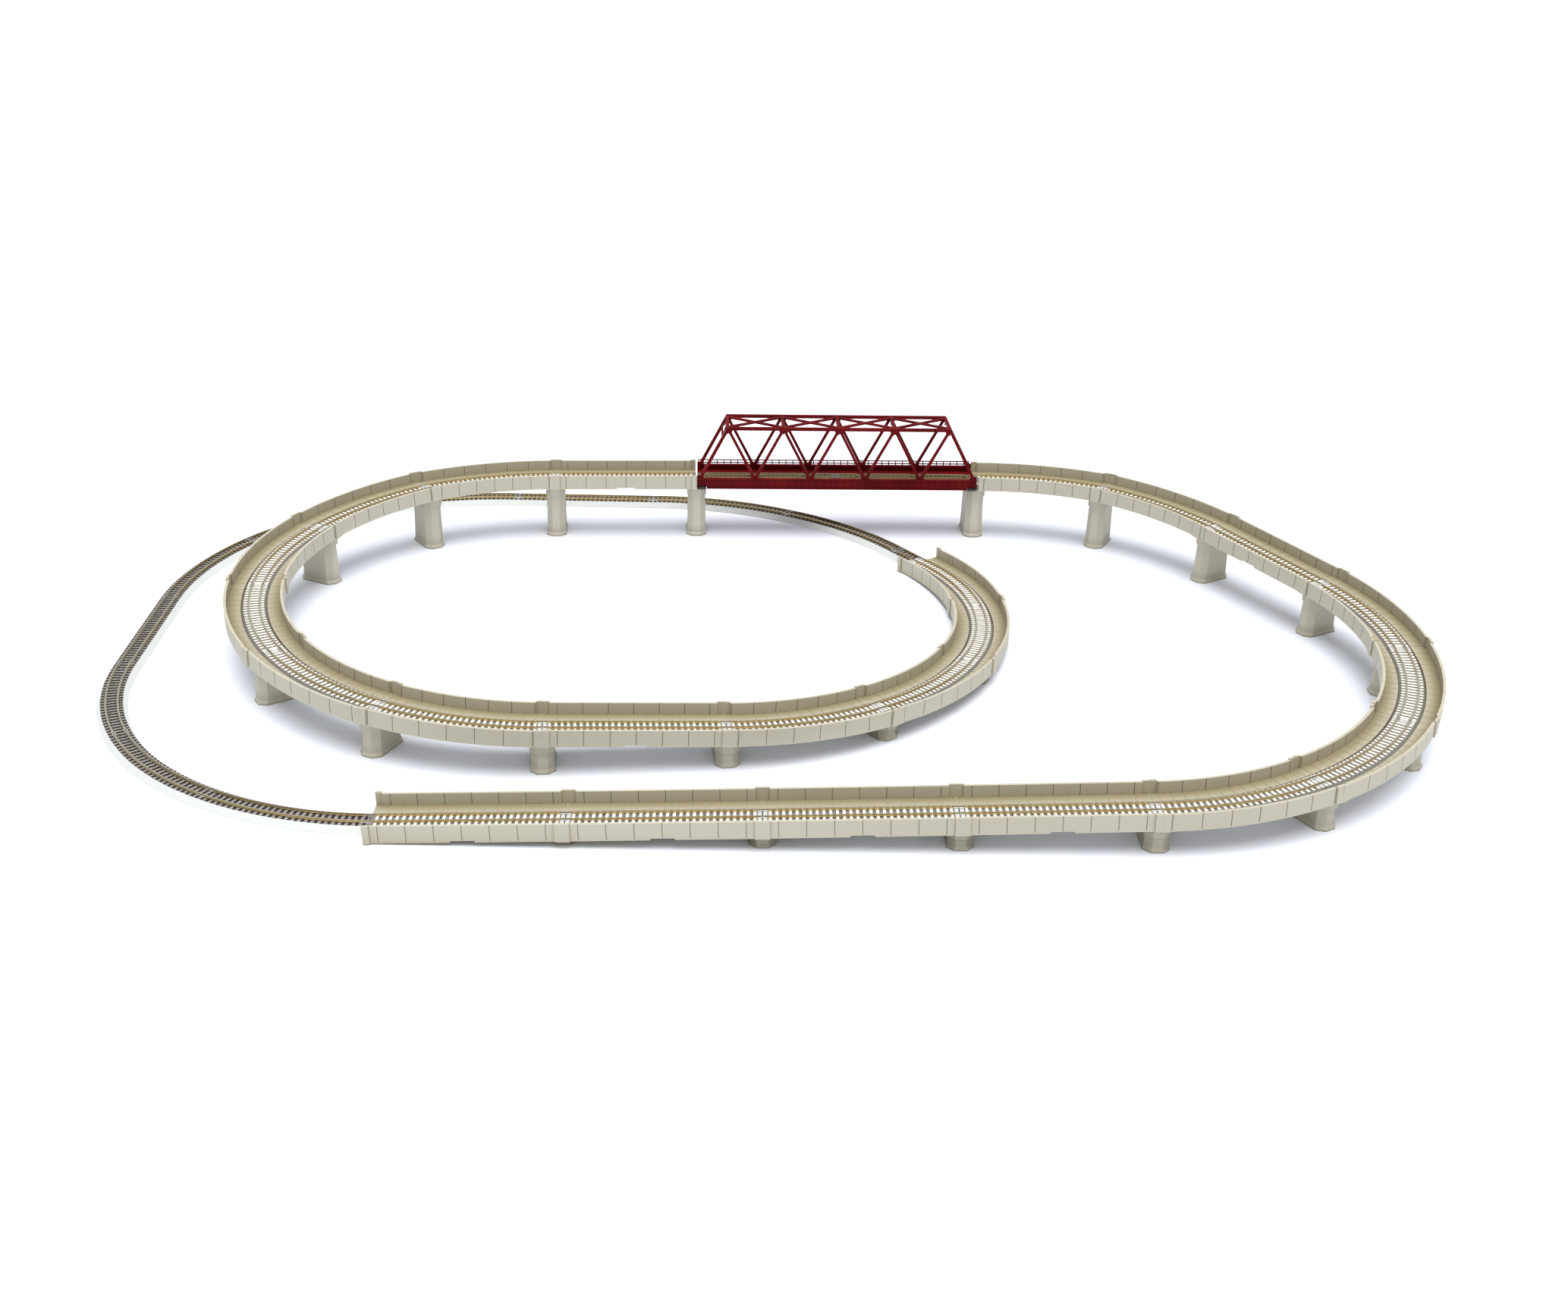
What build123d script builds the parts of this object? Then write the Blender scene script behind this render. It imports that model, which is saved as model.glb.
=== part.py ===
from build123d import *
import math
import os

# Toy railway layout: one closed track that climbs on a viaduct, crosses a truss bridge
# and comes back down to run under that bridge.  Millimetres, +Z up, floor at z = 0.

# ---- track pieces -------------------------------------------------------------------
straight_length = 110.0      # standard straight
filler_length = 23.4634      # short straight just before the underpass
curve_angle = 30.0           # every curve piece turns this far
viaduct_radius = 195.0
wide_radius = 220.0          # ground curves at the back and left
bridge_length = 220.0        # two straights
end_gap = 0.3                # each piece stops this far short of its joint

# slack that each joint of a stretch takes up, in degrees of turn
slack_front = 0.32
slack_corner = -0.51
slack_right = 1.66
slack_onto_bridge = -1.26
slack_off_bridge = 1.22
slack_left = 0.39
slack_inner = -0.55911
slack_ground_back = -1.37
slack_ground_left = 0.94     # the ring closes in the last four joints, at the front

# ---- track section ------------------------------------------------------------------
gauge = 6.5
rail_head = 0.75
rail_foot = 1.2
rail_web = 0.4
rail_height = 1.5
rail_offset = (gauge + rail_head) / 2
bed_top = 4.0                # ballast top, above the underside of a viaduct piece
bed_half_top = 6.9
bed_half_base = 8.2          # roadbed that drops into a viaduct or the bridge
ground_half_base = 9.3       # roadbed that lies on the floor
sleeper_half = 6.65
sleeper_height = 0.3
sleeper_end = 3.7            # the sleepers stop short of a joint for the joiners
joiner_length = 7.0
joiner_half = 1.0
joiner_inner = 0.75
joiner_floor = 0.12          # the joiners float this far above the ballast and below the rails
joiner_height = 1.2

# ---- viaduct section ----------------------------------------------------------------
wall_outer = 19.1
wall_inner = 17.3
wall_top = 10.7
deck_top = 3.3
channel_half = 8.6
channel_floor = 1.2
pilaster_length = 4.1        # half of each pilaster is on either side of a joint
pilaster_jog = 0.9
pilaster_rise = 0.5
panel_pitch = 15.4
panel_groove = 0.5
panel_depth = 0.42
slab_groove = 0.35           # joints between the slabs of the deck
slab_depth = 0.2
peg_hole = 0.6               # radius of the small holes at the foot of each pilaster
notch_length = 13.5          # shallow notch under the walls of a straight
notch_height = 1.0

# ---- piers --------------------------------------------------------------------------
pier_step = 4.0
pier_levels = 10
seat_gap = 0.45              # hairline between a pier and what stands on it
pier_cap = (14.9, 29.2)      # along the track, across the track
pier_shaft_top = (13.6, 27.0)
pier_shaft_base = (14.2, 28.2)
pier_base = (15.6, 30.6)
pier_corner = 4.2            # corner cut of the octagon plan
pier_base_height = 1.0
pier_flare_height = 2.0
pier_cap_height = 7.0
pier_ledge = 0.3

# ---- truss bridge -------------------------------------------------------------------
bridge_gap = 0.7             # at each end, so that the bridge lifts clear
girder_height = 8.5
girder_half = 17.8
girder_web = 1.2
girder_flange = 2.6
flange_height = 0.8
floor_low = 2.2
floor_high = 3.4
ledge_high = 4.3             # floor beside the track
bridge_bed_base = 3.4
stiffener_pitch = 5.5
truss_plane = 15.9
truss_chord_height = 48.6    # centre of the top chord, above the underside
truss_panels = 5
truss_panel = 43.0
chord_width = 2.6
chord_depth = 2.3
diagonal_width = 2.1
diagonal_depth = 1.9
end_post_width = 3.0
gusset_thickness = 2.9
gusset_half = 3.6
gusset_drop = 3.3            # below the middle of the top chord
strut_width = 2.4
brace_width = 2.9
brace_depth = 1.3
portal_drop = 7.5
walk_inner = 17.8
walk_outer = 22.8
walk_level = 5.2
walk_thickness = 0.9
handrail_height = 5.3
handrail_post = 0.75
handrail_pitch = 5.5
shoe_size = (7.0, 4.6, 2.0)  # bearing shoe: along, across, high

bridge_top = bridge_length - 2 * bridge_gap


class Track:
    """A straight or a 30 degree left-hand curve that starts at the origin, heading +X."""

    def __init__(self, length=0.0, radius=0.0):
        self.radius = radius
        self.length = math.radians(curve_angle) * radius if radius else length
        self.turn = curve_angle if radius else 0.0

    def at(self, s):
        """Where the centreline is after s millimetres."""
        if not self.radius:
            return Pos(s, 0, 0)
        return Pos(0, self.radius, 0) * Rot(0, 0, math.degrees(s / self.radius)) * Pos(0, -self.radius, 0)

    def sweep(self, outline, start, end):
        """The outline, a list of (y, z), carried along the track from start to end."""
        face = make_face(Polyline([(0, y, z) for y, z in outline], close=True))
        if not self.radius:
            return Pos(start, 0, 0) * extrude(face, amount=end - start, dir=(1, 0, 0))
        axis = Axis((0, self.radius, 0), (0, 0, 1))
        solid = revolve(face, axis=axis, revolution_arc=math.degrees((end - start) / self.radius))
        return self.at(start) * solid


def mirrored(half):
    """A symmetrical outline from its right half, listed from bottom to top."""
    return half + [(-y, z) for y, z in reversed(half)]


# ---- pieces of track ----------------------------------------------------------------
def roadbed(track, half_base, base, top, gap=end_gap):
    shoulder = [(half_base, base), (half_base, base + 0.5), (bed_half_top, top)]
    return track.sweep(mirrored(shoulder), gap, track.length - gap)


def sleeper_strip(track, top):
    outline = mirrored([(sleeper_half, top), (sleeper_half, top + sleeper_height)])
    return track.sweep(outline, sleeper_end, track.length - sleeper_end)


def rail_outline(y, base):
    foot, web, head = rail_foot / 2, rail_web / 2, rail_head / 2
    half = [(foot, 0), (foot, 0.3), (web, 0.45), (web, 1.0), (head, 1.1), (head, rail_height)]
    return [(y + dy, base + dz) for dy, dz in mirrored(half)]


def rail_pair(track, top, gap=end_gap):
    base = top + sleeper_height
    return [track.sweep(rail_outline(y, base), gap, track.length - gap)
            for y in (-rail_offset, rail_offset)]


def joiner_pair(top, start=-joiner_length / 2, end=joiner_length / 2):
    """Metal joiners that wrap the rail feet, around a joint at the origin."""
    base = top + joiner_floor
    floor = top + sleeper_height - joiner_floor
    pair = []
    for y in (-rail_offset, rail_offset):
        outline = [(joiner_inner, base + joiner_height), (joiner_inner, floor),
                   (-joiner_inner, floor), (-joiner_inner, base + joiner_height),
                   (-joiner_half, base + joiner_height), (-joiner_half, base),
                   (joiner_half, base), (joiner_half, base + joiner_height)]
        pair.append(Track(length=joiner_length).sweep([(y + dy, z) for dy, z in outline], start, end))
    return pair


# ---- viaduct ------------------------------------------------------------------------
def trough_outline(inner, outer, top):
    return mirrored([(outer, 0), (outer, top), (inner, top), (inner, deck_top),
                     (channel_half, deck_top), (channel_half, channel_floor)])


def viaduct_body(track):
    plain = trough_outline(wall_inner, wall_outer, wall_top)
    thick = trough_outline(wall_inner + pilaster_jog, wall_outer + pilaster_jog, wall_top + pilaster_rise)
    far = track.length - pilaster_length
    body = track.sweep(plain, pilaster_length, far)
    body += track.sweep(thick, end_gap, pilaster_length)
    body += track.sweep(thick, far, track.length - end_gap)
    tools = panel_grooves(track) + slab_grooves(track) + peg_holes(track)
    if not track.radius:
        tools.append(Pos(track.length / 2, 0, 0) * Box(notch_length, 60, 2 * notch_height))
    return body - tools


def panel_grooves(track):
    count = int((track.length - 2 * pilaster_length) / panel_pitch / 2)
    middle = track.length / 2
    tools = []
    for i in range(-count, count + 1):
        for side in (-1, 1):
            spot = track.at(middle + i * panel_pitch)
            height = wall_top - notch_height
            tools.append(spot * Pos(0, side * wall_outer, notch_height + height / 2 + 1)
                         * Box(panel_groove, 2 * panel_depth, height + 2))
            height = wall_top - deck_top
            tools.append(spot * Pos(0, side * wall_inner, deck_top + height / 2 + 1)
                         * Box(panel_groove, 2 * panel_depth, height + 2))
    return tools


def slab_grooves(track):
    """Lines across the deck at the panel grooves and half way between them."""
    count = int((track.length - 2 * pilaster_length) / panel_pitch)
    middle = (channel_half + wall_inner) / 2
    cut = Box(slab_groove, wall_inner - channel_half + 0.4, 2 * slab_depth)
    return [track.at(track.length / 2 + i * panel_pitch / 2) * Pos(0, side * middle, deck_top) * cut
            for i in range(-count, count + 1) for side in (-1, 1)]


def peg_holes(track):
    reach = wall_inner + pilaster_jog - 1.1
    return [track.at(s) * Pos(0, side * reach, deck_top) * Cylinder(peg_hole, 2.4)
            for s in (2.1, track.length - 2.1) for side in (-1, 1)]


# ---- piers --------------------------------------------------------------------------
def octagon(size, z):
    x, y, cut = size[0] / 2, size[1] / 2, pier_corner
    points = [(x, y - cut), (x - cut, y), (cut - x, y), (-x, y - cut),
              (-x, cut - y), (cut - x, -y), (x - cut, -y), (x, cut - y)]
    return make_face(Polyline([(px, py, z) for px, py in points], close=True))


def layer(low, high, z_low, z_high):
    return loft([octagon(low, z_low), octagon(high, z_high)])


def pier(height):
    """One pier, standing on the floor at the origin, with the track heading +X."""
    body = layer(pier_base, pier_base, 0, pier_base_height)
    if height <= 2 * pier_step:
        return body + layer(pier_base, pier_cap, pier_base_height, pier_base_height + 1) \
            + layer(pier_cap, pier_cap, pier_base_height + 1, height)
    cap = height - min(pier_cap_height, height - 6.5)
    body += layer(pier_base, pier_shaft_base, pier_base_height, pier_base_height + pier_flare_height)
    body += layer(pier_shaft_base, pier_shaft_top, pier_base_height + pier_flare_height, cap)
    body += layer(pier_shaft_top, pier_cap, cap, cap + pier_ledge)
    return body + layer(pier_cap, pier_cap, cap + pier_ledge, height)


# ---- bridge, from x = 0 to its length, underside at z = 0 -----------------------------
def bar(start, end, width, depth, side=(0, 1, 0)):
    """A square-edged bar between two points; side is the direction of its width."""
    path = Vector(*end) - Vector(*start)
    plane = Plane(origin=start, x_dir=side, z_dir=path)
    return extrude(plane * Rectangle(width, depth), amount=path.length)


def bridge_floor():
    first, last = bridge_gap, bridge_length - bridge_gap
    track = Track(length=bridge_length)
    web_inner = girder_half - (girder_flange + girder_web) / 2
    floor = mirrored([(web_inner + girder_web, floor_low), (web_inner + girder_web, ledge_high),
                      (channel_half, ledge_high), (channel_half, floor_high)])
    body = track.sweep(floor, first, last)
    for side in (-1, 1):
        middle = side * (girder_half - girder_flange / 2)
        web = [(middle - girder_web / 2, 0), (middle + girder_web / 2, 0),
               (middle + girder_web / 2, girder_height), (middle - girder_web / 2, girder_height)]
        body += track.sweep(web, first, last)
        for z in (0, girder_height - flange_height):
            flange = [(middle - girder_flange / 2, z), (middle + girder_flange / 2, z),
                      (middle + girder_flange / 2, z + flange_height),
                      (middle - girder_flange / 2, z + flange_height)]
            body += track.sweep(flange, first, last)
        body += stiffeners(side)
    for x in (first, last):
        body -= Pos(x, 0, 0) * Box(2 * (shoe_size[0] + 0.3), 60, 2 * (shoe_size[2] - 0.3))
    return body


def stiffeners(side):
    count = int((bridge_top - 6) / stiffener_pitch / 2)
    y = side * (girder_half - girder_flange / 2 + girder_web / 2 + 0.25)
    return [Pos(bridge_length / 2 + i * stiffener_pitch, y, girder_height / 2)
            * Box(0.5, 0.7, girder_height - 0.4) for i in range(-count, count + 1)]


def truss_nodes():
    """The x of the bottom and the top nodes of a truss."""
    first = (bridge_length - truss_panels * truss_panel) / 2
    bottom = [first + i * truss_panel for i in range(truss_panels + 1)]
    return bottom, [x + truss_panel / 2 for x in bottom[:-1]]


def truss(y):
    bottom, top = truss_nodes()
    high, low = truss_chord_height, girder_height
    body = bar((top[0] - 0.9, y, high), (top[-1] + 0.9, y, high), chord_width, chord_depth)
    for i, x in enumerate(top):
        for foot in (bottom[i], bottom[i + 1]):
            outermost = foot in (bottom[0], bottom[-1])
            width, depth = (end_post_width, 2.3) if outermost else (diagonal_depth, diagonal_width)
            body += bar((foot, y, low - 1), (x, y, high), width, depth)
        body += top_gusset(x, y, 1.4 if x == top[0] else gusset_half, 1.4 if x == top[-1] else gusset_half)
    for x in bottom:
        body += Pos(x, y, low + 0.9) * Box(6.0, gusset_thickness * 0.75, 2.2)
    return body & Pos(bridge_length / 2, y, low + 40) * Box(bridge_top, 10, 80)


def top_gusset(x, y, left, right):
    z = truss_chord_height
    corners = [(x - left, z), (x + right, z), (x + right, z - chord_depth / 2),
               (x + right * 0.8, z - gusset_drop), (x - left * 0.8, z - gusset_drop),
               (x - left, z - chord_depth / 2)]
    face = make_face(Polyline([(px, y - gusset_thickness / 2, pz) for px, pz in corners], close=True))
    return extrude(face, amount=gusset_thickness, dir=(0, 1, 0))


def top_bracing():
    bottom, top = truss_nodes()
    z, reach = truss_chord_height, truss_plane - gusset_thickness / 2 - 0.05
    body = Part()
    for x in top:
        body += bar((x, -reach, z), (x, reach, z), chord_depth - 0.2, strut_width, side=(0, 0, 1))
        for side in (-1, 1):
            body += bar((x, side * (reach - 6), z), (x, side * (reach - 0.7), z - 5.0), 0.8, 1.3, (1, 0, 0))
    for x, following in zip(top, top[1:]):
        for side in (-1, 1):
            inset = reach - brace_width / 2
            body += bar((x, -side * inset, z + 0.2), (following, side * inset, z + 0.2),
                        brace_depth, brace_width, side=(0, 0, 1))
    slope = (truss_panel / 2) / (truss_chord_height - girder_height)
    for x, outward in ((top[0], -1), (top[-1], 1)):
        px = x + outward * slope * portal_drop
        low = z - portal_drop
        body += bar((px, -reach, low), (px, reach, low), 1.6, 1.6, side=(0, 0, 1))
        for side in (-1, 1):
            body += bar((x, 0, z), (px, side * (reach - 0.5), low), 1.0, 1.2, side=(outward * slope, 0, -1))
    return body


def walkway():
    body = Pos(bridge_length / 2, (walk_inner + walk_outer) / 2, walk_level - walk_thickness / 2) \
        * Box(bridge_top, walk_outer - walk_inner, walk_thickness)
    bottom, top = truss_nodes()
    for x in bottom[1:-1] + top:
        body += Pos(x, walk_inner + 1.4, walk_level - walk_thickness - 1.1) * Box(1.2, 2.8, 2.4)
    return body


def handrail():
    y, z = walk_outer - 0.5, walk_level
    first, last = bridge_gap + 0.6, bridge_length - bridge_gap - 0.6
    body = Part()
    for height in (handrail_height * 0.52, handrail_height - handrail_post / 2):
        body += bar((first, y, z + height), (last, y, z + height), handrail_post, handrail_post)
    count = int((last - first) / handrail_pitch / 2)
    spots = [bridge_length / 2 + i * handrail_pitch for i in range(-count, count + 1)]
    for x in spots + [first + handrail_post / 2, last - handrail_post / 2]:
        body += Pos(x, y, z + handrail_height / 2) * Box(handrail_post, handrail_post, handrail_height)
    return body


def bearing_shoes():
    along, across, high = shoe_size
    shoes = []
    for x in (bridge_gap + along / 2, bridge_length - bridge_gap - along / 2):
        for y in (-1, 1):
            spot = Pos(x, y * (girder_half - girder_flange / 2), 0)
            shoes.append(spot * (Pos(0, 0, 0.75) * Box(along, across, 1.5)
                                 + Pos(0, 0, 0.75) * Box(along - 2.4, across - 1.6, 1.5 + 0.4)))
    return shoes


# ---- the line, laid out piece by piece ------------------------------------------------
class Line:
    """Walks the centreline and remembers every piece and every joint."""

    def __init__(self):
        self.x = self.y = self.heading = self.height = 0.0
        self.joints = []

    def lay(self, track, rise, slack):
        """Put the next piece down and return its location."""
        h = math.radians(self.heading)
        if track.radius:
            chord = 2 * track.radius * math.sin(math.radians(curve_angle / 2))
            aim = h + math.radians(curve_angle / 2)
        else:
            chord, aim = track.length, h
        tilt = math.degrees(math.asin(rise / chord))
        lean = math.degrees(aim) - self.heading
        spot = Pos(self.x, self.y, self.height) * Rot(0, 0, self.heading) \
            * Rot(0, 0, lean) * Rot(0, -tilt, 0) * Rot(0, 0, -lean)
        run = chord * math.cos(math.radians(tilt))
        self.x += run * math.cos(aim)
        self.y += run * math.sin(aim)
        self.height += rise
        self.heading += track.turn + slack
        self.joints.append((Pos(self.x, self.y, self.height) * Rot(0, 0, self.heading - slack / 2),
                            self.height, tilt))
        return spot

    def joint_spots(self):
        """Every joint, level with the mean slope of the two pieces that meet there."""
        following = self.joints[1:] + self.joints[:1]
        return [spot * Rot(0, -(tilt + after[2]) / 2, 0)
                for (spot, _, tilt), after in zip(self.joints, following)]


straight = Track(length=straight_length)
curve = Track(radius=viaduct_radius)
wide_curve = Track(radius=wide_radius)
filler = Track(length=filler_length)
bridge_track = Track(length=bridge_length)

up, level, down = pier_step, 0.0, -pier_step
climb = [("front_straight_%d" % i, straight, up, slack_front) for i in (1, 2, 3)]
climb += [("front_straight_4", straight, up, slack_corner)]
climb += [("right_curve_%d" % i, curve, up, slack_corner) for i in (1, 2, 3)]
climb += [("right_curve_4", curve, up, slack_right), ("right_straight", straight, up, slack_right),
          ("right_curve_5", curve, up, slack_right), ("right_curve_6", curve, level, slack_onto_bridge)]
descent = [("back_straight", straight, level, slack_left), ("left_curve_1", curve, level, slack_left)]
descent += [("left_curve_%d" % i, curve, down, slack_left) for i in (2, 3, 4, 5, 6)]
descent += [("inner_straight", straight, down, slack_left)]
descent += [("inner_curve_%d" % i, curve, down, slack_inner) for i in (1, 2, 3, 4)]
back = [("filler", filler)] + [("back_curves", wide_curve)] * 2 + [("back_straight", straight)]
left = [("left_curves", wide_curve)] * 3
front = [("left_straight", straight)] + [("front_curves", curve)] * 3
slack_used = sum(piece[3] for piece in climb + descent) + slack_off_bridge \
    + len(back) * slack_ground_back + len(left) * slack_ground_left
slack_ground_front = -slack_used / len(front)
ground = [(name, track, slack) for leg, slack in ((back, slack_ground_back), (left, slack_ground_left),
                                                  (front, slack_ground_front)) for name, track in leg]


def build():
    """Every node of the layout, as a list of solids by name."""
    nodes = {}
    line = Line()
    lift = Pos(0, 0, seat_gap)
    bodies = {straight: viaduct_body(straight), curve: viaduct_body(curve)}
    shared = {name: [] for name in ("viaduct_roadbed", "viaduct_sleepers", "viaduct_rails",
                                    "ground_sleepers", "ground_rails", "rail_joiners")}

    def add_viaduct(pieces):
        for name, track, rise, slack in pieces:
            spot = lift * line.lay(track, rise, slack)
            nodes["viaduct_" + name] = [spot * bodies[track]]
            shared["viaduct_roadbed"].append(spot * roadbed(track, bed_half_base, channel_floor, bed_top))
            shared["viaduct_sleepers"].append(spot * sleeper_strip(track, bed_top))
            shared["viaduct_rails"] += [spot * rail for rail in rail_pair(track, bed_top)]

    add_viaduct(climb)
    bridge_spot = lift * line.lay(bridge_track, level, slack_off_bridge)
    add_viaduct(descent)
    viaduct_joints = list(line.joints)
    for name, track, slack in ground:
        spot = line.lay(track, level, slack)
        top = bed_top + seat_gap
        bed = spot * roadbed(track, ground_half_base, 0, top)
        nodes.setdefault("ground_roadbed_" + name, []).append(bed)
        shared["ground_sleepers"].append(spot * sleeper_strip(track, top))
        shared["ground_rails"] += [spot * rail for rail in rail_pair(track, top)]
    for i, spot in enumerate(line.joint_spots()):
        start, end = -joiner_length / 2, joiner_length / 2
        if i == len(climb) - 1:
            end = -end_gap               # the bridge lifts away from these two joints
        if i == len(climb):
            start = end_gap
        shared["rail_joiners"] += [lift * spot * j for j in joiner_pair(bed_top, start, end)]
    for level_number in range(1, pier_levels + 1):
        height = level_number * pier_step
        model = pier(height)
        nodes["pier_%02d_mm" % height] = [spot * Pos(0, 0, -z) * model for spot, z, tilt in viaduct_joints
                                          if abs(z - height) < 0.01]
    nodes.update(shared)
    nodes.update({name: [bridge_spot * s for s in solids] for name, solids in bridge().items()})
    return nodes


def bridge():
    bed_track = Track(length=straight_length)
    halves = [Pos(0, 0, 0), Pos(straight_length, 0, 0)]
    nodes = {"bridge_floor": [bridge_floor()],
             "bridge_truss_near": [truss(truss_plane)],
             "bridge_truss_far": [truss(-truss_plane)],
             "bridge_top_bracing": [top_bracing()],
             "bridge_walkway": [mirror(walkway(), Plane.XZ)],
             "bridge_handrail": [mirror(handrail(), Plane.XZ)],
             "bridge_bearings": bearing_shoes(),
             "bridge_roadbed": [spot * roadbed(bed_track, bed_half_base, bridge_bed_base, bed_top, bridge_gap)
                                for spot in halves],
             "bridge_sleepers": [spot * sleeper_strip(bed_track, bed_top) for spot in halves],
             "bridge_rails": [spot * rail for spot in halves
                              for rail in rail_pair(bed_track, bed_top, bridge_gap)],
             "bridge_joiners": [Pos(straight_length, 0, 0) * j for j in joiner_pair(bed_top)]}
    ends = [(0, bridge_gap, joiner_length / 2), (bridge_length, -joiner_length / 2, -bridge_gap)]
    for x, start, end in ends:
        nodes["bridge_joiners"] += [Pos(x, 0, 0) * j for j in joiner_pair(bed_top, start, end)]
    return nodes


def extent(nodes):
    boxes = [solid.bounding_box() for solids in nodes.values() for solid in solids]
    low = [min(getattr(box.min, axis) for box in boxes) for axis in "XYZ"]
    high = [max(getattr(box.max, axis) for box in boxes) for axis in "XYZ"]
    return low, high


os.makedirs("parts", exist_ok=True)
nodes = build()
low, high = extent(nodes)
centre = Pos(-(low[0] + high[0]) / 2, -(low[1] + high[1]) / 2, 0)
print("nodes", len(nodes), "low", low, "high", high)
for name, shapes in nodes.items():
    solids = [centre * solid for shape in shapes for solid in shape.solids()]
    shape = solids[0] if len(solids) == 1 else Compound(children=solids)
    shape.label = name
    export_step(shape, "parts/%s.step" % name)
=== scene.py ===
import math
import bpy
from mathutils import Matrix, Vector


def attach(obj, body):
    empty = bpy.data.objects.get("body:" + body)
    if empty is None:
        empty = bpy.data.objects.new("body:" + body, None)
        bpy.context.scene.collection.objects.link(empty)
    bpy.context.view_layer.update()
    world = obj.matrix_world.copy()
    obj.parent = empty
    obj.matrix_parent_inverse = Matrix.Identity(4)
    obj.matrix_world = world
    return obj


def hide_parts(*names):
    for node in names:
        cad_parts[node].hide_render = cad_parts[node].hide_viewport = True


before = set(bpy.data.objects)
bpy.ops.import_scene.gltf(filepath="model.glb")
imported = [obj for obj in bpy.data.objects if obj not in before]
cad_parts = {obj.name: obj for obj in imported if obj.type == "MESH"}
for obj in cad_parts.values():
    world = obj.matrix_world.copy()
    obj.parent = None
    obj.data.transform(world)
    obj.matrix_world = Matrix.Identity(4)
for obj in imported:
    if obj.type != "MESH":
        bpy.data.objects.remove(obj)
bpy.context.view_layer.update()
print("frame loaded:", len(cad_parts), "nodes")

mm = 0.001

# the same plan as the CAD, in millimetres
plan = {
    "straight": 110.0, "filler": 23.4634, "bridge": 220.0, "viaductRadius": 195.0, "wideRadius": 220.0,
    "curveAngle": 30.0, "step": 4.0, "seatGap": 0.45, "originX": -221.49795, "originY": -256.03390,
}
slack = {"front": 0.32, "corner": -0.51, "right": 1.66, "ontoBridge": -1.26, "offBridge": 1.22, "left": 0.39,
         "inner": -0.55911, "groundBack": -1.37, "groundLeft": 0.94}


# ---------- shader helpers
class Wire:
    # a socket that takes part in Python sums
    def __init__(self, finish, socket):
        self.finish = finish
        self.socket = socket

    def sum(self, operation, *values):
        return self.finish.add("ShaderNodeMath", {"operation": operation}, dict(enumerate(values)))

    def __add__(self, other):
        return self.sum("ADD", self, other)

    def __radd__(self, other):
        return self.sum("ADD", other, self)

    def __sub__(self, other):
        return self.sum("SUBTRACT", self, other)

    def __rsub__(self, other):
        return self.sum("SUBTRACT", other, self)

    def __mul__(self, other):
        return self.sum("MULTIPLY", self, other)

    def __rmul__(self, other):
        return self.sum("MULTIPLY", other, self)


class Finish:
    def __init__(self, name, **constants):
        self.material = bpy.data.materials.new(name)
        self.material.use_nodes = True
        self.tree = self.material.node_tree
        self.shader = self.tree.nodes["Principled BSDF"]
        for socket, value in constants.items():
            self.shader.inputs[socket.replace("_", " ")].default_value = value

    def plug(self, socket, value):
        if isinstance(value, Wire):
            self.tree.links.new(value.socket, socket)
        else:
            socket.default_value = value

    def add(self, kind, settings=None, sockets=None, out=0):
        node = self.tree.nodes.new(kind)
        for key, value in (settings or {}).items():
            if key == "stops":
                ramp = node.color_ramp
                while len(ramp.elements) < len(value):
                    ramp.elements.new(0.5)
                for element, (position, colour) in zip(ramp.elements, value):
                    element.position = position
                    element.color = (*colour, 1)
            else:
                setattr(node, key, value)
        for key, value in (sockets or {}).items():
            self.plug(node.inputs[key], value)
        return Wire(self, node.outputs[out])

    def noise(self, scale, detail):
        where = self.add("ShaderNodeTexCoord", out="Object")
        return self.add("ShaderNodeTexNoise", {}, {"Vector": where, "Scale": scale, "Detail": detail,
                                                   "Roughness": 0.55}, "Fac")

    def ramp(self, factor, low, high):
        return self.add("ShaderNodeMapRange", {"clamp": True},
                        {"Value": factor, "From Min": low, "From Max": high}, "Result")

    def blend(self, factor, first, second):
        colours = [c if isinstance(c, Wire) else (*c, 1) for c in (first, second)]
        return self.add("ShaderNodeMix", {"data_type": "RGBA"}, {0: factor, 6: colours[0], 7: colours[1]}, 2)

    def normalUp(self):
        normal = self.add("ShaderNodeNewGeometry", out="Normal")
        return self.add("ShaderNodeSeparateXYZ", {}, {"Vector": normal}, "Z")

    def bump(self, height, distance, strength=0.5):
        return self.add("ShaderNodeBump", {},
                        {"Height": height, "Distance": distance, "Strength": strength}, "Normal")

    def edge(self, radius):
        # how much a rounded normal leaves the true one: 0 on faces, above 0 along edges
        soft = self.add("ShaderNodeBevel", {"samples": 4}, {"Radius": radius}, "Normal")
        true = self.add("ShaderNodeNewGeometry", out="Normal")
        same = self.add("ShaderNodeVectorMath", {"operation": "DOT_PRODUCT"}, {0: soft, 1: true}, "Value")
        return 1 - same

    def hidden(self, distance):
        # how much of the sky a point has lost to its neighbours
        clear = self.add("ShaderNodeAmbientOcclusion", {"samples": 4}, {"Distance": distance}, "AO")
        return 1 - clear

    def wear(self, **values):
        for socket, value in values.items():
            self.plug(self.shader.inputs[socket.replace("_", " ")], value)
        return self.material


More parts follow.
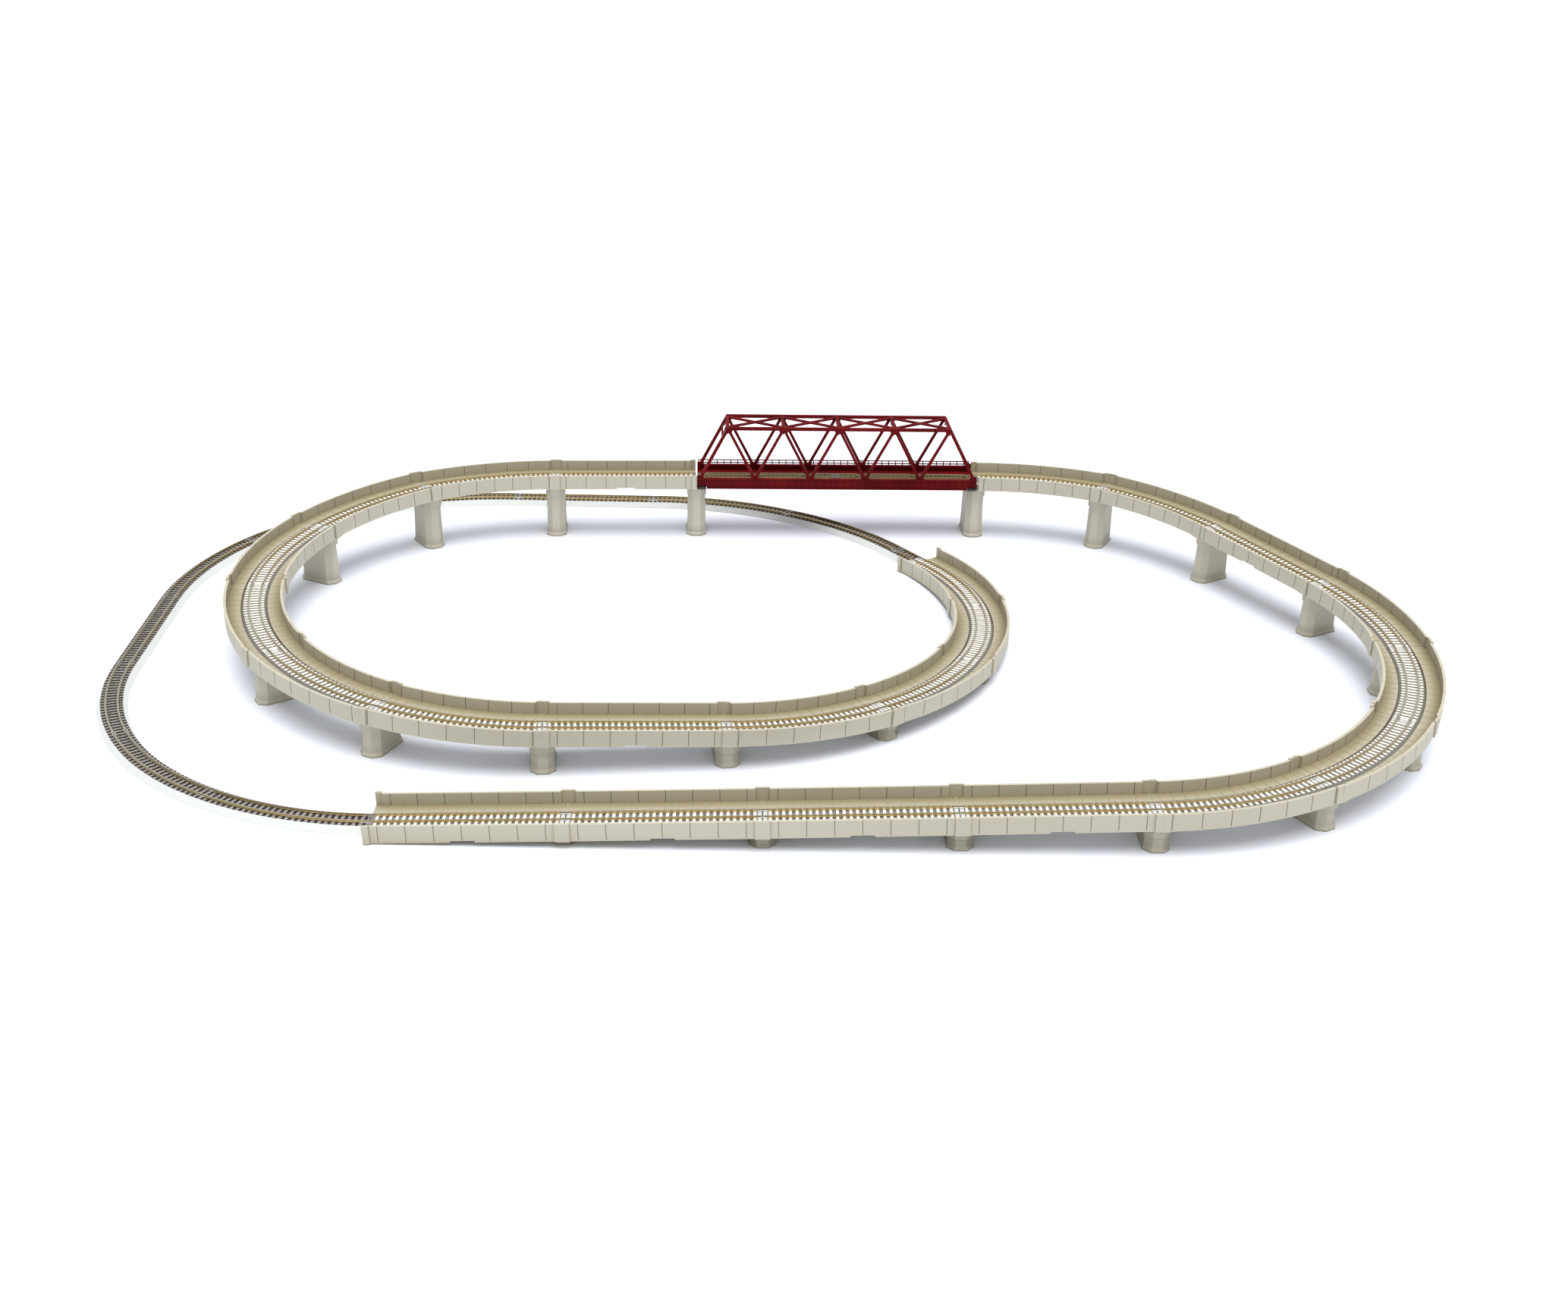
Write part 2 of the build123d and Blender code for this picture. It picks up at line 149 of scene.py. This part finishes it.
# ---------- finishes
grain = {"depth": 0.00003, "detail": 2}
# the recess and crease colours below are painted shade laid on by occlusion masks; the deck colour is the
# deck's tan with painted shade
viaductLook = {"base": (0.462, 0.438, 0.352), "shade": (0.428, 0.400, 0.312), "edge": (0.60, 0.58, 0.50),
               "deck": (0.245, 0.208, 0.120), "recessShade": (0.375, 0.330, 0.212),
               "creaseShade": (0.130, 0.105, 0.062), "reach": 0.011, "soft": (0.06, 0.62),
               "line": 0.75, "rough": 0.52, "grain": 2600}
pierLook = {"base": (0.490, 0.462, 0.380), "shade": (0.440, 0.410, 0.325), "edge": (0.62, 0.59, 0.51),
            "deck": (0.330, 0.295, 0.200), "recessShade": (0.130, 0.108, 0.066), "creaseShade": (0.110, 0.092, 0.056),
            "reach": 0.020, "soft": (0.26, 0.72), "line": 0.75, "rough": 0.55, "grain": 2400}
mouldLook = {"cloud": 9.0, "deckReach": (0.006, 0.035), "edgeRadius": 0.0004, "creaseReach": 0.0008,
             "creaseSoft": (0.30, 0.62), "sheen": 0.38}
ballastLook = {"dark": (0.060, 0.056, 0.050), "mid": (0.17, 0.162, 0.145), "light": (0.38, 0.37, 0.34),
               "shoulder": (0.25, 0.245, 0.215)}
groundLook = {"dark": (0.130, 0.115, 0.108), "mid": (0.31, 0.292, 0.278), "light": (0.50, 0.48, 0.455),
              "shoulder": (0.63, 0.655, 0.640)}
stoneLook = {"size": 1900.0, "depth": 0.00018, "dust": 2200.0, "rough": 0.62, "sheen": 0.25}
railLook = {"side": (0.56, 0.435, 0.195), "foot": (0.12, 0.088, 0.036), "top": (1.0, 0.93, 0.76),
            "reach": 0.0009, "soft": (0.28, 0.62), "streak": 260.0, "rough": 0.42}
joinerLook = {"bright": (0.96, 0.96, 0.95), "dull": (0.84, 0.85, 0.86), "streak": 500.0, "rough": 0.22}
bridgeLook = {"base": (0.140, 0.0040, 0.0052), "deep": (0.080, 0.0022, 0.0032), "edge": (0.20, 0.014, 0.018),
              "hollowShade": (0.030, 0.0020, 0.0024), "reach": 0.004, "soft": (0.12, 0.62), "edgeRadius": 0.0003,
              "cloud": 30.0, "grain": 2600, "rough": 0.45, "sheen": 0.06}
plainLook = {"grain": 2200.0, "sheen": 0.35}


def mouldedPlastic(name, look):
    # pale faces with rubbed edges; painted shade darkens hollows, the parts under the deck and the scribed
    # lines and creases, and enclosed up-facing faces get a tan deck colour with painted shade
    finish = Finish(name, Specular_IOR_Level=mouldLook["sheen"])
    broad = finish.noise(mouldLook["cloud"], 4)
    fine = finish.noise(look["grain"], grain["detail"])
    hidden = finish.hidden(look["reach"])
    level = finish.ramp(finish.normalUp(), 0.9, 0.97)
    # painted shade: tight creases and scribed grooves are darkened towards the crease colour
    creaseShade = finish.ramp(finish.hidden(mouldLook["creaseReach"]), *mouldLook["creaseSoft"])
    rubbed = finish.ramp(finish.edge(mouldLook["edgeRadius"]), 0.02, 0.30)
    tone = finish.blend(finish.ramp(broad, 0.35, 0.7), look["base"], look["shade"])
    # painted shade: faces that nearby parts hide from the sky are darkened towards the recess colour
    tone = finish.blend(finish.ramp(hidden, *look["soft"]), tone, look["recessShade"])
    # tan deck colour with painted shade: only up-facing faces that the walls partly hide from the sky get it
    tone = finish.blend(level * finish.ramp(hidden, *mouldLook["deckReach"]), tone, look["deck"])
    tone = finish.blend(rubbed * 0.5, tone, look["edge"])
    tone = finish.blend(creaseShade * look["line"], tone, look["creaseShade"])
    tone = finish.blend(finish.ramp(fine, 0.3, 0.8) * 0.10, tone, look["shade"])
    return finish.wear(Base_Color=tone, Roughness=look["rough"] + (broad - 0.5) * 0.18,
                       Normal=finish.bump(fine, grain["depth"]))


def ballast(name, look):
    # stones on the top with painted shade in the gaps between them, smoother moulded shoulders at the sides
    finish = Finish(name, Specular_IOR_Level=stoneLook["sheen"])
    where = finish.add("ShaderNodeTexCoord", out="Object")
    cells = {"Vector": where, "Scale": stoneLook["size"]}
    stones = finish.add("ShaderNodeTexVoronoi", {}, cells, "Distance")
    tint = finish.add("ShaderNodeTexVoronoi", {}, cells, "Color")
    pick = finish.add("ShaderNodeSeparateColor", {}, {"Color": tint}, 0)
    top = finish.ramp(finish.normalUp(), 0.80, 0.95)
    stops = [(0.0, look["dark"]), (0.45, look["mid"]), (1.0, look["light"])]
    stone = finish.add("ShaderNodeValToRGB", {"stops": stops}, {"Fac": pick}, "Color")
    # painted shade: the gaps at the edges of the stone cells are darkened towards the dark stone colour
    stone = finish.blend(finish.ramp(stones, 0.35, 0.75) * 0.7, stone, look["dark"])
    fine = finish.noise(stoneLook["dust"], 3)
    side = finish.blend(finish.ramp(fine, 0.45, 0.75) * 0.22, look["shoulder"], look["mid"])
    return finish.wear(Base_Color=finish.blend(top, side, stone), Roughness=stoneLook["rough"] + top * 0.25,
                       Normal=finish.bump(stones * -1 * top + fine * 0.2, stoneLook["depth"], 0.8))


def railMetal():
    # brass sides with a painted highlight on top of the head and painted shade on the foot, where the
    # sleepers and clips shade it
    finish = Finish("railMetal", Metallic=1.0)
    top = finish.ramp(finish.normalUp(), 0.75, 0.95)
    streak = finish.noise(railLook["streak"], 4)
    # painted shade: the occluded web and foot are darkened towards the foot colour
    shaded = finish.ramp(finish.hidden(railLook["reach"]), *railLook["soft"])
    tone = finish.blend(shaded, railLook["side"], railLook["foot"])
    # painted highlight: up-facing faces of the head take the near-white top colour
    tone = finish.blend(top, tone, railLook["top"])
    tone = finish.blend(finish.ramp(streak, 0.45, 0.8) * 0.25, tone, railLook["side"])
    return finish.wear(Base_Color=tone, Roughness=railLook["rough"] - top * 0.22 + (streak - 0.5) * 0.12)


def joinerMetal():
    finish = Finish("joinerMetal", Metallic=0.85)
    streak = finish.noise(joinerLook["streak"], 3)
    tone = finish.blend(finish.ramp(streak, 0.4, 0.8), joinerLook["bright"], joinerLook["dull"])
    return finish.wear(Base_Color=tone, Roughness=joinerLook["rough"] + streak * 0.16)


def bridgePlastic():
    # crimson, with painted shade making it nearly black along the ledges and inside corners
    finish = Finish("bridgePlastic", Specular_IOR_Level=bridgeLook["sheen"])
    broad = finish.noise(bridgeLook["cloud"], 4)
    fine = finish.noise(bridgeLook["grain"], grain["detail"])
    # painted shade: occluded ledges and inside corners are darkened towards the hollow colour
    hollowShade = finish.ramp(finish.hidden(bridgeLook["reach"]), *bridgeLook["soft"])
    rubbed = finish.ramp(finish.edge(bridgeLook["edgeRadius"]), 0.02, 0.3)
    tone = finish.blend(finish.ramp(broad, 0.35, 0.7), bridgeLook["base"], bridgeLook["deep"])
    tone = finish.blend(hollowShade, tone, bridgeLook["hollowShade"])
    tone = finish.blend(rubbed * 0.5, tone, bridgeLook["edge"])
    return finish.wear(Base_Color=tone, Roughness=bridgeLook["rough"] + (broad - 0.5) * 0.2,
                       Normal=finish.bump(fine, grain["depth"]))


def plainPlastic(name, base, other, rough, spread=40.0):
    finish = Finish(name, Specular_IOR_Level=plainLook["sheen"])
    broad = finish.noise(spread, 3)
    fine = finish.noise(plainLook["grain"], grain["detail"])
    tone = finish.blend(finish.ramp(broad, 0.35, 0.7), base, other)
    tone = finish.blend(finish.ramp(fine, 0.4, 0.8) * 0.2, tone, other)
    return finish.wear(Base_Color=tone, Roughness=rough + (broad - 0.5) * 0.2,
                       Normal=finish.bump(fine, grain["depth"]))


materials = {
    "viaduct": mouldedPlastic("viaductPlastic", viaductLook), "pier": mouldedPlastic("pierPlastic", pierLook),
    "ballast": ballast("greyBallast", ballastLook), "groundBallast": ballast("shoulderedBallast", groundLook),
    "rail": railMetal(), "joiner": joinerMetal(), "bridge": bridgePlastic(),
    "concrete": plainPlastic("concreteSleeper", (0.78, 0.76, 0.70), (0.70, 0.67, 0.60), 0.6, spread=300.0),
    "wood": plainPlastic("darkSleeper", (0.010, 0.0075, 0.0065), (0.026, 0.019, 0.015), 0.6, spread=500.0),
    "darkBed": plainPlastic("darkBed", (0.055, 0.045, 0.036), (0.10, 0.085, 0.07), 0.7, spread=600.0),
    "clip": plainPlastic("clipPlastic", (0.62, 0.62, 0.60), (0.50, 0.50, 0.49), 0.5, spread=200.0),
    "shoe": plainPlastic("bearingPlastic", (0.012, 0.012, 0.012), (0.03, 0.03, 0.03), 0.4),
}
print("finishes made:", len(materials))


def nodeFinish(name):
    if name.startswith("pier"):
        return "pier"
    if name.startswith("ground_roadbed"):
        return "groundBallast"
    if name == "viaduct_roadbed":
        return "ballast"
    if name == "bridge_roadbed":
        return "darkBed"
    if name.endswith("_rails"):
        return "rail"
    if "joiners" in name:
        return "joiner"
    if name == "bridge_bearings":
        return "shoe"
    return "bridge" if name.startswith("bridge") else "viaduct"


for name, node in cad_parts.items():
    node.data.materials.clear()
    node.data.materials.append(materials[nodeFinish(name)])


# ---------- the line, walked again so that small pieces land where the rails are
class Piece:
    def __init__(self, family, length, radius, spot):
        self.family, self.length, self.radius, self.spot = family, length, radius, spot

    def at(self, s):
        if not self.radius:
            return self.spot @ Matrix.Translation((s, 0, 0))
        turn = Matrix.Rotation(s / self.radius, 4, "Z")
        out, back = (Matrix.Translation((0, side * self.radius, 0)) for side in (1, -1))
        return self.spot @ out @ turn @ back


def lineLegs():
    # every piece in order: family, shape, rise and the slack of the joint at its end
    up, level, down = plan["step"], 0, -plan["step"]
    straight, curve, wide = (plan["straight"], 0), (0, plan["viaductRadius"]), (0, plan["wideRadius"])
    bridge = (plan["bridge"], 0)
    legs = [("viaduct", straight, up, slack["front"])] * 3 + [("viaduct", straight, up, slack["corner"])]
    legs += [("viaduct", curve, up, slack["corner"])] * 3 + [("viaduct", curve, up, slack["right"])]
    legs += [("viaduct", straight, up, slack["right"]), ("viaduct", curve, up, slack["right"])]
    legs += [("viaduct", curve, level, slack["ontoBridge"]), ("bridge", bridge, level, slack["offBridge"])]
    legs += [("viaduct", straight, level, slack["left"]), ("viaduct", curve, level, slack["left"])]
    legs += [("viaduct", curve, down, slack["left"])] * 5 + [("viaduct", straight, down, slack["left"])]
    legs += [("viaduct", curve, down, slack["inner"])] * 4
    back = [(plan["filler"], 0), wide, wide, straight]
    legs += [("ground", shape, level, slack["groundBack"]) for shape in back]
    legs += [("ground", wide, level, slack["groundLeft"])] * 3
    front = [straight, curve, curve, curve]
    closing = -sum(leg[3] for leg in legs) / len(front)
    return legs + [("ground", shape, level, closing) for shape in front]


def walkLine():
    x = y = z = heading = 0.0
    pieces, ends = [], []
    for family, (length, radius), rise, turn in lineLegs():
        half = math.radians(plan["curveAngle"] / 2) if radius else 0.0
        chord = 2 * radius * math.sin(half) if radius else length
        aim = heading + half
        tilt = math.asin(rise / chord)
        spot = Matrix.Translation((x + plan["originX"], y + plan["originY"], z + plan["seatGap"])) \
            @ Matrix.Rotation(aim, 4, "Z") @ Matrix.Rotation(-tilt, 4, "Y") @ Matrix.Rotation(-half, 4, "Z")
        arc = math.radians(plan["curveAngle"]) * radius if radius else length
        pieces.append(Piece(family, arc, radius, spot))
        run = chord * math.cos(tilt)
        x, y, z = x + run * math.cos(aim), y + run * math.sin(aim), z + rise
        heading += 2 * half + math.radians(turn)
        place = Matrix.Translation((x + plan["originX"], y + plan["originY"], z + plan["seatGap"]))
        ends.append((family, place @ Matrix.Rotation(heading - math.radians(turn) / 2, 4, "Z"), tilt))
    joints = []
    for (family, spot, tilt), (after, _, tiltAfter) in zip(ends, ends[1:] + ends[:1]):
        joints.append((family, after, spot @ Matrix.Rotation(-(tilt + tiltAfter) / 2, 4, "Y")))
    return pieces, joints


pieces, joints = walkLine()
print("line walked:", len(pieces), "pieces")


class Shape:
    # gathers points and faces in millimetres, then becomes one object
    def __init__(self):
        self.points, self.faces = [], []

    def add(self, spot, points, faces):
        start = len(self.points)
        self.points += [spot @ Vector(p) for p in points]
        self.faces += [tuple(start + i for i in face) for face in faces]

    def block(self, spot, size, middle=(0, 0, 0), top=1.0, ease=0.0):
        # a block whose top may be narrower, with eased top edges
        x, y, z = (s / 2 for s in size)
        rings = [(x, y, -z)] + ([(x, y, z - ease)] if ease else []) + [(x * top - ease, y * top - ease, z)]
        points = []
        for rx, ry, rz in rings:
            points += [(middle[0] + sx * rx, middle[1] + sy * ry, middle[2] + rz)
                       for sx, sy in ((1, 1), (-1, 1), (-1, -1), (1, -1))]
        faces = [(3, 2, 1, 0)]
        for ring in range(len(rings) - 1):
            a = 4 * ring
            faces += [(a + i, a + (i + 1) % 4, a + 4 + (i + 1) % 4, a + 4 + i) for i in range(4)]
        last = 4 * (len(rings) - 1)
        faces.append((last, last + 1, last + 2, last + 3))
        self.add(spot, points, faces)

    def prism(self, spot, outline, low, high):
        # an outline of (y, z) points carried along x
        count = len(outline)
        points = [(x, y, z) for x in (low, high) for y, z in outline]
        faces = [tuple(range(count)), tuple(range(2 * count - 1, count - 1, -1))]
        faces += [(i, count + i, count + (i + 1) % count, (i + 1) % count) for i in range(count)]
        self.add(spot, points, faces)

    def build(self, name, material, body, slot, replaced=()):
        mesh = bpy.data.meshes.new(name)
        mesh.from_pydata([p * mm for p in self.points], [], self.faces)
        mesh.validate()
        mesh.materials.append(materials[material])
        piece = bpy.data.objects.new(name, mesh)
        bpy.context.scene.collection.objects.link(piece)
        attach(piece, body)
        if replaced:
            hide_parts(*replaced)


sleeper = {"pitch": 3.72, "half": 6.65, "width": 1.75, "top": 4.3, "base": 3.9, "end": 4.3, "ease": 0.12,
           "groundEnd": 1.9}
clip = {"length": 0.9, "width": 0.75, "height": 0.32, "reach": 0.95, "sunk": 0.02, "taper": 0.8}
railOffset = 3.625


def sleeperSpots(piece):
    # the bridge's track is two straights end to end
    end = sleeper["groundEnd"] if piece.family == "ground" else sleeper["end"]
    half = piece.length / 2
    spans = [(end, half - end), (half + end, piece.length - end)] if piece.family == "bridge" \
        else [(end, piece.length - end)]
    spots = []
    for low, high in spans:
        count = round((high - low) / sleeper["pitch"])
        spots += [piece.at(low + (high - low) * i / count) for i in range(count + 1)]
    return spots


def laySleepers(family, name, material, body, slot, replaced):
    # one block per sleeper, with a small clip on either side of each rail
    shape = Shape()
    tall = sleeper["top"] - sleeper["base"]
    clipMiddle = sleeper["top"] + clip["height"] / 2 - clip["sunk"]
    for piece in pieces:
        if piece.family != family:
            continue
        for spot in sleeperSpots(piece):
            shape.block(spot, (sleeper["width"], 2 * sleeper["half"], tall),
                        (0, 0, sleeper["base"] + tall / 2), ease=sleeper["ease"])
            for rail in (-railOffset, railOffset):
                for side in (-1, 1):
                    shape.block(spot, (clip["length"], clip["width"], clip["height"]),
                                (0, rail + side * clip["reach"], clipMiddle), clip["taper"])
    shape.build(name, material, body, slot, [replaced])


laySleepers("viaduct", "concreteSleepers", "concrete", "layout", "concrete_sleepers", "viaduct_sleepers")
laySleepers("ground", "groundSleepers", "wood", "layout", "wooden_sleepers", "ground_sleepers")
laySleepers("bridge", "bridgeSleepers", "wood", "truss_bridge", "wooden_sleepers", "bridge_sleepers")
print("sleepers laid")


tongue = {"length": 2.3, "width": 4.6, "height": 0.5, "middle": 4.2, "gap": 0.35,
          "side": 5.7, "sideWidth": 2.0, "sideHeight": 0.42, "sideMiddle": 4.15, "ease": 0.1}
seam = {"half": 0.6, "inset": 0.03, "outer": 20.0, "top": 11.2, "inner": 18.2, "deck": 3.3, "channel": 8.6,
        "floor": 1.2}
shoulder = {"half": 9.25, "low": 0.02, "topHalf": 6.9, "top": 3.97}


def jointTongues():
    # the moulded tongues between two roadbeds, with a slit across them
    grey = Shape()
    for family, after, spot in joints:
        if "bridge" in (family, after) or family == "ground":
            continue
        for side in (-1, 1):
            x = side * (tongue["length"] / 2 + tongue["gap"])
            size = (tongue["length"], tongue["width"], tongue["height"])
            grey.block(spot, size, (x, 0, tongue["middle"]), ease=tongue["ease"])
            size = (tongue["length"], tongue["sideWidth"], tongue["sideHeight"])
            for y in (-tongue["side"], tongue["side"]):
                grey.block(spot, size, (x, y, tongue["sideMiddle"]), ease=tongue["ease"])
    grey.build("jointTongues", "clip", "layout", "ballast_plastic")


def seamWebs():
    # the clip webs that close the hairline between two pieces
    inset = seam["inset"]
    wall, bed = Shape(), Shape()
    half = [(seam["outer"] - inset, inset), (seam["outer"] - inset, seam["top"] - inset),
            (seam["inner"] + inset, seam["top"] - inset), (seam["inner"] + inset, seam["deck"] - inset),
            (seam["channel"] + inset, seam["deck"] - inset), (seam["channel"] + inset, seam["floor"] - inset)]
    slope = [(shoulder["half"], inset - plan["seatGap"]), (shoulder["half"], shoulder["low"]),
             (shoulder["topHalf"], shoulder["top"])]
    for family, after, spot in joints:
        if family == "viaduct" and after == "viaduct":
            wall.prism(spot, mirrored(half), -seam["half"], seam["half"])
        if family == "ground" and after == "ground":
            bed.prism(spot, mirrored(slope), -seam["half"], seam["half"])
    wall.build("viaductSeams", "viaduct", "layout", "viaduct_plastic")
    bed.build("groundSeams", "groundBallast", "layout", "ground_ballast_plastic")


def mirrored(half):
    return half + [(-y, z) for y, z in reversed(half)]


jointTongues()
seamWebs()
print("joint pieces made")


# ---------- stage, light and camera
stage = {"floor": (0.830, 0.868, 0.965), "size": 60.0}
sky = {"colour": (0.94, 0.96, 1.0), "strength": 0.47}
overhead = {"energy": 3.95, "angle": 64.0, "tilt": (6.0, 3.0), "colour": (1.0, 0.98, 0.94)}
frontFill = {"energy": 0.40, "angle": 60.0, "tilt": (66.0, 4.0), "colour": (1.0, 0.985, 0.95)}


def makeFloor():
    mesh = bpy.data.meshes.new("floor")
    s = stage["size"] / 2
    mesh.from_pydata([(-s, -s, 0), (s, -s, 0), (s, s, 0), (-s, s, 0)], [], [(0, 1, 2, 3)])
    finish = Finish("floorPaper", Base_Color=(*stage["floor"], 1), Roughness=0.9, Specular_IOR_Level=0.1)
    mesh.materials.append(finish.material)
    floor = bpy.data.objects.new("floor", mesh)
    bpy.context.scene.collection.objects.link(floor)


def makeWorld():
    world = bpy.data.worlds.new("studio")
    world.use_nodes = True
    background = world.node_tree.nodes["Background"]
    background.inputs["Color"].default_value = (*sky["colour"], 1)
    background.inputs["Strength"].default_value = sky["strength"]
    bpy.context.scene.world = world


def makeSun(name, look):
    # a wide lamp, so that its shadows are soft
    light = bpy.data.lights.new(name, "SUN")
    light.energy = look["energy"]
    light.angle = math.radians(look["angle"])
    light.color = look["colour"]
    lamp = bpy.data.objects.new(name, light)
    lamp.rotation_euler = [math.radians(t) for t in look["tilt"]] + [0]
    bpy.context.scene.collection.objects.link(lamp)


view = {"place": (-0.0026981, -1.1235191, 0.5207231), "pitch": 0.43938, "yaw": -0.01204, "roll": 0.02665,
        "lens": 41.179855, "sensor": 36.0}


def makeCamera():
    camera = bpy.data.cameras.new("camera")
    camera.sensor_width = view["sensor"]
    camera.lens = view["lens"]
    camera.clip_start = 0.01
    camera.clip_end = 100
    cp, sp = math.cos(view["pitch"]), math.sin(view["pitch"])
    cy, sy = math.cos(view["yaw"]), math.sin(view["yaw"])
    forward = Vector((-sy * cp, cy * cp, -sp))
    right = Vector((cy, sy, 0))
    up = right.cross(forward)
    cr, sr = math.cos(view["roll"]), math.sin(view["roll"])
    right, up = right * cr + up * sr, up * cr - right * sr
    eye = bpy.data.objects.new("camera", camera)
    eye.matrix_world = Matrix.Translation(view["place"]) @ Matrix((right, up, -forward)).transposed().to_4x4()
    bpy.context.scene.collection.objects.link(eye)
    bpy.context.scene.camera = eye


makeFloor()
makeWorld()
makeSun("overhead", overhead)
makeSun("frontFill", frontFill)
makeCamera()
bpy.context.scene.view_settings.view_transform = "Standard"
print("stage, lamps and camera ready")
